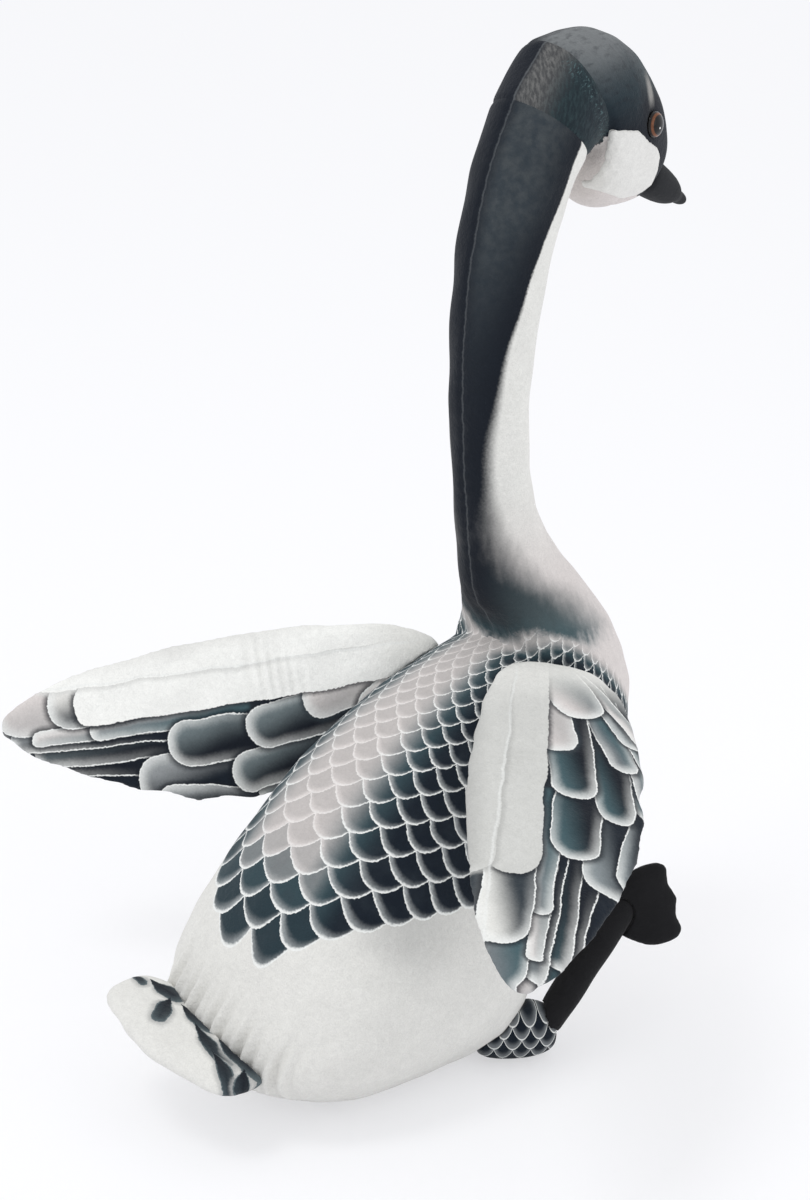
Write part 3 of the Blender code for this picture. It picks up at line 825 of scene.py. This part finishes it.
def feather_group(name, pointed):
    """A node group that lays one feather, with the shade it casts, over a colour.
    Its sizes are in millimetres."""
    tree = bpy.data.node_groups.new(name, "ShaderNodeTree")
    for word in ("Along", "Across", "Length", "Half Width", "Bend"):
        tree.interface.new_socket(word, in_out="INPUT", socket_type="NodeSocketFloat")
    for word in ("Under", "Near", "Far", "Rim", "Shade"):
        tree.interface.new_socket(word, in_out="INPUT", socket_type="NodeSocketColor")
    tree.interface.new_socket("Colour", in_out="OUTPUT", socket_type="NodeSocketColor")
    entry = tree.nodes.new("NodeGroupInput")
    leave = tree.nodes.new("NodeGroupOutput")
    read = {socket.name: Value(tree, socket) for socket in entry.outputs if socket.name}
    run = read["Along"] / read["Length"]
    half = read["Half Width"]
    aside = (read["Across"] - run * run * read["Bend"]) / half
    narrow = run.ramp(-0.05, 0.55) * 0.98 + 0.02 if pointed else run.smaller(0.5) * 0.5 + 0.75
    tip = (read["Along"] - read["Length"] + half * 1.1).larger(0.0) / (half * 1.1)
    radius = ((aside.size() / narrow) ** 2.3 + tip ** 2.3) ** (1 / 2.3)
    edge = radius.flipped() * half
    inside = edge.ramp(-0.15, 0.15) * run.ramp(0.0, 0.02)
    line = edge.ramp(RIM_LINE, RIM_LINE - 0.7)
    glow = edge.ramp(RIM_GLOW, 0.2) * run * run * 0.85
    tone = (aside * 0.45 - run * 0.60).ramp(-0.80, -0.12).mix(read["Near"], read["Far"])
    feather = line.larger(glow).mix(tone, read["Rim"])
    cast = edge.ramp(-CAST_SHADE, 0.0) * run.ramp(0.05, 0.35) * 0.8
    under = cast.mix(read["Under"], read["Shade"])
    tree.links.new(inside.mix(under, feather).socket, leave.inputs["Colour"])
    return tree


FEATHER = feather_group("printed_feather", False)
STREAK = feather_group("printed_streak", True)


def lay_feather(tree, kind, run, side, base, tip, half, bend, tones, under):
    """Lays one feather over a colour. All places and sizes are in millimetres."""
    base, tip = Vector(base), Vector(tip)
    direction = (tip - base).normalized()
    ahead, aside = run - base.x, side - base.y
    near, far, shade, rim = tones
    settings = {
        "Along": ahead * direction.x + aside * direction.y,
        "Across": ahead * -direction.y + aside * direction.x,
        "Length": (tip - base).length,
        "Half Width": half,
        "Bend": bend,
        "Under": under,
        "Near": near,
        "Far": far,
        "Rim": rim,
        "Shade": shade,
    }
    group = tree.nodes.new("ShaderNodeGroup")
    group.node_tree = kind
    for word, value in settings.items():
        plug(tree, value, group.inputs[word])
    return Value(tree, group.outputs["Colour"])


def blended(one, two, share):
    """A colour between two others."""
    return tuple(a + (b - a) * share for a, b in zip(one, two))


def wing_axes(name):
    """The wing's start, span and chord directions, from the CAD node's own spread."""
    points = vertices(name)
    middle = points.mean(axis=0)
    _, _, axes = np.linalg.svd(points - middle, full_matrices=False)
    span, chord = axes[0], axes[1]
    span = span if (span * (1 if name == "wing_right" else -1))[0] > 0 else -span
    outward = np.array((1.0, 1.0, -0.5)) if name == "wing_right" else np.array((0.0, 0.0, -1.0))
    chord = chord if chord @ outward > 0 else -chord
    tip = (points @ span).max()
    return span, tip - WING_SPAN / 1000, chord, (points @ chord).min()


def wing_material(name):
    material, tree = new_material(name + "_print")
    point = frayed(place(tree))
    span, start, chord, lead = wing_axes(name)
    run = along(point, span, start) * 1000.0
    side = along(point, chord, lead) * 1000.0
    run = run + (noise(point, 30.0, 2.0) - 0.5) * 7.0
    side = side + (noise(stretched(point, (-1.0, 1.0, 1.0)), 34.0, 2.0) - 0.5) * 6.0
    white = ARM_WHITE_AS_LIT[name]
    # The leading strip's near tone is the arm's white in painted shade.
    shaded = tuple(0.75 * part for part in white)
    tone_sets = {
        **TONES,
        "tip": TONES[TIP_TONES[name]],
        "white": (white, white, NIGHT),
        "edge": (shaded, white, shaded),
    }
    colour = SLATE
    for base, tip, half, bend, tone in WING_PRINT:
        reach = {"arm": ARM_TIPS[name], "lead": LEAD_TIPS[name]}.get(tip[0], tip[0])
        from_place = (base[0] * WING_SPAN, base[1] * WING_CHORD)
        to_place = (reach * WING_SPAN, tip[1] * WING_CHORD)
        near, far, cast = tone_sets[tone]
        near = blended(near, PINK_WHITE, PALENESS[name] * (near is not white))
        rim = white if tone in ("white", "edge") else RIM_WHITE
        tones = (near, far, cast, rim)
        spots = (run, side, from_place, to_place)
        colour = lay_feather(tree, FEATHER, *spots, half, bend, tones, colour)
    shoulder = (run + side * 0.20).ramp(62.0, 22.0)
    colour = (shoulder * 0.93).mix(colour, WHITE)
    seam = (side - WING_CHORD * 0.178).size().ramp(1.2, 0.2) * run.ramp(10.0, 30.0)
    colour = (seam * 0.5).mix(colour, RIM_WHITE)
    plush_finish(tree, colour)
    return material


# The tail's dark streaks, in millimetres across (x) and along (y) the row frame.
TAIL_PRINT = (
    ((-68, -120), (-54, -121), 3.0, 0.0),
    ((-58, -115), (-31, -113), 7.0, 1.5),
    ((-37, -116), (-25, -140), 4.5, 2.0),
    ((-30, -114), (-2, -117), 6.5, 2.0),
    ((-14, -120), (24, -132), 4.5, 3.0),
    ((10, -127), (42, -138), 4.5, -3.0),
    ((-6, -113), (38, -116), 8.0, -2.0),
    ((30, -122), (46, -138), 5.0, 1.0),
)


def tail_material():
    material, tree = new_material("tail_print")
    point = frayed(place(tree))
    run = along(point, (1, 0, 0)) * 1000.0 + (noise(point, 45.0) - 0.5) * 6.0
    side = along(point, (0, 1, 0)) * 1000.0 + (noise(point, 60.0) - 0.5) * 5.0
    colour = noise(point, 30.0).mix(WHITE, TAIL_SHADE)
    for base, tip, half, bend in TAIL_PRINT:
        tones = (NAVY, NIGHT, PALE_GREY, TAIL_TEAL)
        colour = lay_feather(tree, STREAK, run, side, base, tip, half, bend, tones, colour)
    plush_finish(tree, colour)
    return material


def thigh_material(name):
    material, tree = new_material(name + "_print")
    point = place(tree)
    low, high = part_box(name)
    middle = (low + high) / 2
    z = along(point, (0, 0, 1), middle.z)
    x = along(point, (1, 0, 0), middle.x)
    y = along(point, (0, 1, 0), middle.y)
    depth, _, _ = scales(y * 75.0 + x * 55.0, z * 135.0 + noise(point, 40.0) * 0.8)
    tone = depth.ramp(0.12, 0.9).mix(GREY, NAVY)
    plush_finish(tree, depth.ramp(0.06, 0.16).mix(RIM_WHITE, tone))
    return material


def black_material(name, colour):
    material, tree = new_material(name)
    point = place(tree)
    plush_finish(tree, noise(point, 60.0).mix(colour, tuple(1.5 * part for part in colour)), 0.6)
    return material


# The eyes.


def eye_stand(name):
    """The middle of an eye's inner end, the way it looks, its radius and its height."""
    points = vertices(name)
    inner = points[np.argsort(np.abs(points[:, 0]))[:12]].mean(axis=0)
    middle = points.mean(axis=0)
    out = (middle - inner) / np.linalg.norm(middle - inner)
    heights = (points - inner) @ out
    aside = np.linalg.norm(points - inner - np.outer(heights, out), axis=1)
    return inner, Vector(out), aside.max(), heights.max()


def eye_material(name):
    """Amber glass with a black pupil and rim, ringed round the way the eye looks."""
    material, tree = new_material(name + "_glass")
    inner, out, radius, _ = eye_stand(name)
    point = place(tree)
    offset = vector_math("SUBTRACT", point, tuple(inner))
    height = along(offset, out)
    reach = vector_math("LENGTH", offset, output="Value")
    aside = (reach * reach - height * height).larger(0.0).math("SQRT") * (1 / radius)
    iris = noise(point, 700.0).mix(AMBER, tuple(0.3 * part for part in AMBER))
    colour = aside.ramp(0.72, 0.78).mix(PUPIL, iris)
    colour = aside.ramp(0.87, 0.93).mix(colour, EYE_RIM)
    shader = tree.nodes["Principled BSDF"]
    tree.links.new(colour.socket, shader.inputs["Base Color"])
    shader.inputs["Roughness"].default_value = 0.07
    shader.inputs["Specular IOR Level"].default_value = 0.35
    return material


def eye_profile(radius, top):
    """Radius and height of the dome, its rim and its stem, from the crown down."""
    rim = top - DOME_HEIGHT
    profile = [(0.0, top)]
    for step in range(1, DOME_STEPS + 1):
        lean = math.radians(90 / DOME_STEPS * step)
        profile.append((radius * math.sin(lean), rim + DOME_HEIGHT * math.cos(lean)))
    under = rim - RIM_STEP
    return profile + [(radius, under), (STEM_RADIUS, under), (STEM_RADIUS, 0.0), (0.0, 0.0)]


def turned(profile, inner, out):
    """A closed shape of rings round an axis, with one corner where the radius is nothing."""
    turn = out.to_track_quat("Z", "Y").to_matrix()
    shape = bmesh.new()
    rings = []
    for away, height in profile:
        ring = []
        for step in range(EYE_SIDES if away else 1):
            angle = 2 * math.pi * step / EYE_SIDES
            spot = Vector((away * math.cos(angle), away * math.sin(angle), height))
            ring.append(shape.verts.new(Vector(inner) + turn @ spot))
        rings.append(ring)
    for one, two in zip(rings, rings[1:]):
        for step in range(EYE_SIDES):
            after = (step + 1) % EYE_SIDES
            quad = [ring[at % len(ring)] for ring, at in ((one, step), (one, after))]
            quad += [ring[at % len(ring)] for ring, at in ((two, after), (two, step))]
            shape.faces.new(list(dict.fromkeys(quad)))
    bmesh.ops.recalc_face_normals(shape, faces=shape.faces)
    return shape


def build_eye(name):
    """A smooth dome where the CAD node has a faceted one, with its stem."""
    inner, out, radius, top = eye_stand(name)
    eye = from_shape(name + "_dome", turned(eye_profile(radius, top), inner, out))
    eye.data.materials.append(eye_material(name))
    eye.data.shade_smooth()
    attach(eye, "root")
    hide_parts(name)


# The pieces.


def wing_folds(name, places):
    """Stuffing waves, and cross folds in the fabric along the wing's leading edge."""
    span, start, chord, lead = wing_axes(name)
    run = (places @ span - start) / (WING_SPAN / 1000)
    side = (places @ chord - lead) / (WING_CHORD / 1000)
    folds = np.sin(run * 150 + 9 * np.sin(run * 17) + side * 5)
    folds *= 0.5 + 0.5 * np.sin(run * 31 + side * 9)
    where = falloff(side - 0.22, 0.16) * falloff(run - 0.42, 0.25)
    return waves(places, WING_WAVES) + WING_FOLDS * folds * where


def bill_pinch(places):
    """Draws the bill in behind its rounded tip."""
    tip = places[np.argmax(places[:, 1])]
    back = np.linalg.norm(places - tip, axis=1)
    return -BILL_PINCH * falloff(back - 0.012, 0.005)


def padded_node(name, voxel, rounds, shift):
    """One CAD node as a stuffed piece, with its skin moved by shift(places)."""
    return pushed(remeshed(merged(name + "_pad", name), voxel, rounds), shift)


def wavy(size):
    return lambda places: waves(places, size)


def puffed(places):
    return np.full(len(places), CHEEK_PUFF)


def build_cheek(name, material):
    dress(padded_node(name, SMALL_VOXEL, 5, puffed), material, (name,))


def build_wing(name):
    wing = padded_node(name, PANEL_VOXEL, 10, lambda places: wing_folds(name, places))
    dress(wing, wing_material(name), (name,))


def build_thigh(name):
    thigh = padded_node(name, PANEL_VOXEL, 6, wavy(THIGH_WAVES))
    dress(thigh, thigh_material(name), (name,))


def build_limb(name, material):
    limb = padded_node(name, PANEL_VOXEL, 4, wavy(LIMB_WAVES))
    dress(limb, material, (name,))


def build_tail():
    tail = padded_node("tail", PANEL_VOXEL, 6, wavy(TAIL_WAVES))
    dress(tail, tail_material(), ("tail",))


def build_bill():
    bill = padded_node("bill", SMALL_VOXEL, 6, bill_pinch)
    dress(bill, black_material("bill_charcoal", CHARCOAL), ("bill",))


def dress_washers():
    """The washers keep their CAD shape and get a plain plastic."""
    material, tree = new_material("washer_plain")
    shader = tree.nodes["Principled BSDF"]
    shader.inputs["Roughness"].default_value = 0.5
    tone = noise(place(tree), 200.0).mix(WASHER, WASHER_SHADE)
    tree.links.new(tone.socket, shader.inputs["Base Color"])
    for side in ("right", "left"):
        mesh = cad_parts["washer_" + side].data
        mesh.materials.clear()
        mesh.materials.append(material)


def build_pieces():
    skins = build_skin()
    dress(skins["torso"], torso_material(), ("torso",))
    dress(skins["neck"], neck_material(), ("neck",))
    dress(skins["nape_band"], nape_material(), ("nape_band",))
    dress(skins["head"], head_material(), ("head",))
    cheek_white = white_material("cheek_white")
    black = black_material("leg_black", BLACK)
    for side in ("right", "left"):
        build_cheek("cheek_" + side, cheek_white)
        build_wing("wing_" + side)
        build_thigh("thigh_" + side)
        build_limb("leg_" + side, black)
        build_limb("foot_" + side, black)
        build_eye("eye_" + side)
    build_tail()
    build_bill()
    dress_washers()


# The stage.

PHOTO_WIDTH = 810
PHOTO_HEIGHT = 1200
CAMERA_TURN = math.radians(45)
CAMERA_RISE = math.radians(22)
CAMERA_DISTANCE = 1.65
METRES_PER_PIXEL = 0.00056
SENSOR_HEIGHT = 36.0
AIM = Vector((0, 0.03, 0.3))
AIM_PIXEL = (400, 565)
FLOOR_REACH = 12.0
FLOOR_GAP = 0.0002
FLOOR_WHITE = 0.55
FLOOR_COLOUR = (0.94, 0.94, 0.96, 1.0)
BACKDROP = (0.985, 0.985, 1.0, 1.0)
SKY = (0.97, 0.98, 1.0, 1.0)
SKY_STRENGTH = 0.93
KEY_SIZE, KEY_POWER = 0.8, 11.0
FILL_SIZE, FILL_POWER = 1.8, 3.0
GLINT_SIZE, GLINT_POWER, GLINT_DISTANCE = 0.09, 0.6, 0.9


def build_camera():
    """The photo's view. Returns its right, up and back directions."""
    flat = math.cos(CAMERA_RISE)
    back = Vector(
        (math.sin(CAMERA_TURN) * flat, -math.cos(CAMERA_TURN) * flat, math.sin(CAMERA_RISE))
    )
    right = Vector((math.cos(CAMERA_TURN), math.sin(CAMERA_TURN), 0))
    up = back.cross(right)
    eye = AIM + back * CAMERA_DISTANCE
    middle = AIM + right * ((PHOTO_WIDTH / 2 - AIM_PIXEL[0]) * METRES_PER_PIXEL)
    middle -= up * ((PHOTO_HEIGHT / 2 - AIM_PIXEL[1]) * METRES_PER_PIXEL)
    camera = bpy.data.cameras.new("camera")
    camera.sensor_fit = "VERTICAL"
    camera.sensor_height = SENSOR_HEIGHT
    camera.lens = CAMERA_DISTANCE / METRES_PER_PIXEL * SENSOR_HEIGHT / PHOTO_HEIGHT
    obj = linked("camera", camera)
    obj.location = eye
    obj.rotation_euler = (eye - middle).to_track_quat("Z", "Y").to_euler()
    bpy.context.scene.camera = obj
    return right, up, back


def build_light(name, spot, target, size, power):
    """A round soft lamp that faces a target."""
    light = bpy.data.lights.new(name, "AREA")
    light.shape = "DISK"
    light.size = size
    light.energy = power
    obj = linked(name, light)
    obj.location = spot
    obj.rotation_euler = (spot - target).to_track_quat("Z", "Y").to_euler()


def build_glint(back):
    """A small lamp that the right eye mirrors to the camera."""
    inner, out, _, top = eye_stand("eye_right")
    crown = Vector(inner) + out * top
    ray = out * (2 * back.dot(out)) - back
    build_light("glint", crown + ray * GLINT_DISTANCE, crown, GLINT_SIZE, GLINT_POWER)


def build_world():
    """Soft light from all round, with a white backdrop where it is seen."""
    world = bpy.data.worlds.new("world")
    bpy.context.scene.world = world
    world.use_nodes = True
    tree = world.node_tree
    soft = tree.nodes["Background"]
    soft.inputs["Color"].default_value = SKY
    soft.inputs["Strength"].default_value = SKY_STRENGTH
    seen = tree.nodes.new("ShaderNodeBackground")
    seen.inputs["Color"].default_value = BACKDROP
    path = tree.nodes.new("ShaderNodeLightPath")
    either = Value(tree, path.outputs["Is Camera Ray"])
    either = either.larger(Value(tree, path.outputs["Is Transmission Ray"]))
    choose = tree.nodes.new("ShaderNodeMixShader")
    plug(tree, either, choose.inputs["Fac"])
    tree.links.new(soft.outputs[0], choose.inputs[1])
    tree.links.new(seen.outputs[0], choose.inputs[2])
    tree.links.new(choose.outputs[0], tree.nodes["World Output"].inputs["Surface"])


def build_floor():
    """A wide white floor a little under the goose, partly lit by itself for the camera."""
    corners = [
        (x * FLOOR_REACH, y * FLOOR_REACH, -FLOOR_GAP)
        for x, y in ((-1, -1), (1, -1), (1, 1), (-1, 1))
    ]
    mesh = bpy.data.meshes.new("floor")
    mesh.from_pydata(corners, [], [(0, 1, 2, 3)])
    material, tree = new_material("floor_white")
    shader = tree.nodes["Principled BSDF"]
    shader.inputs["Base Color"].default_value = FLOOR_COLOUR
    shader.inputs["Roughness"].default_value = 1.0
    shader.inputs["Specular IOR Level"].default_value = 0.0
    white = tree.nodes.new("ShaderNodeEmission")
    white.inputs["Color"].default_value = BACKDROP
    path = tree.nodes.new("ShaderNodeLightPath")
    share = Value(tree, path.outputs["Is Camera Ray"]) * FLOOR_WHITE
    choose = tree.nodes.new("ShaderNodeMixShader")
    plug(tree, share, choose.inputs["Fac"])
    tree.links.new(shader.outputs[0], choose.inputs[1])
    tree.links.new(white.outputs[0], choose.inputs[2])
    tree.links.new(choose.outputs[0], tree.nodes["Material Output"].inputs["Surface"])
    mesh.materials.append(material)
    floor = linked("floor", mesh)


def build_stage():
    right, up, back = build_camera()
    build_world()
    build_floor()
    key = AIM + back * 1.2 + up * 1.6 - right * 0.9
    fill = AIM + back * 1.4 + up * 0.4 + right * 1.6
    build_light("key", key, AIM, KEY_SIZE, KEY_POWER)
    build_light("fill", fill, AIM, FILL_SIZE, FILL_POWER)
    build_glint(back)
    bpy.context.scene.view_settings.view_transform = "Standard"


build_pieces()
build_stage()
